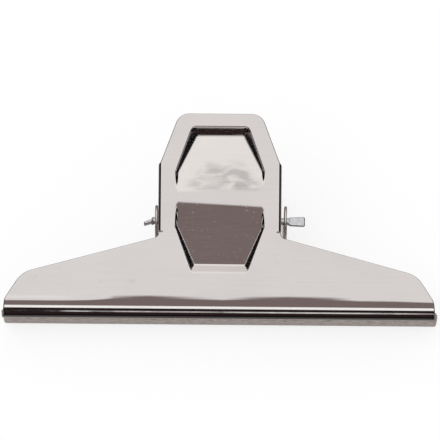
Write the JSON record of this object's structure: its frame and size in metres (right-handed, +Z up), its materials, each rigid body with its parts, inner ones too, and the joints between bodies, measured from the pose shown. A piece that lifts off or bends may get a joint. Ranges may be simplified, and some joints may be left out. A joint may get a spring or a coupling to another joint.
{
  "type": "bulldog clip",
  "caption": "Wide sheet-steel bulldog clip: a pair of pressed jaws with curled gripping lips, hinged on a pin and closed by torsion springs.",
  "frame": {"origin": "on the resting face of the rear jaw, under the middle of the clip", "axes": "+X along the jaws, +Y towards the heads that are squeezed, +Z up from the resting face"},
  "size_m": [0.1252, 0.0606, 0.0439],
  "materials": {
    "jaw_nickel": "bright nickel plate on pressed sheet steel",
    "pin_steel": "bright zinc plated steel pin with hammered ends",
    "spring_steel": "drawn spring wire"
  },
  "bodies": {
    "rear_jaw": {"rear_jaw_plate": "jaw_nickel", "left_spring": "spring_steel", "right_spring": "spring_steel"},
    "front_jaw": {"front_jaw_plate": "jaw_nickel"},
    "pin": {"hinge_pin": "pin_steel"}
  },
  "joints": [
    {"name": "jaw_hinge", "type": "hinge", "parent": "rear_jaw", "child": "front_jaw", "pos_m": [0, -0.00045, 0.0153], "axis": [-1, 0, 0], "range_deg": [0, 65], "stiffness_Nm_per_rad": 0.5, "springref_deg": -57.3, "deforming": ["left_spring", "right_spring"]},
    {"name": "pin_spin", "type": "hinge", "parent": "rear_jaw", "child": "pin", "pos_m": [0, -0.00045, 0.0153], "axis": [1, 0, 0], "continuous": true}
  ]
}
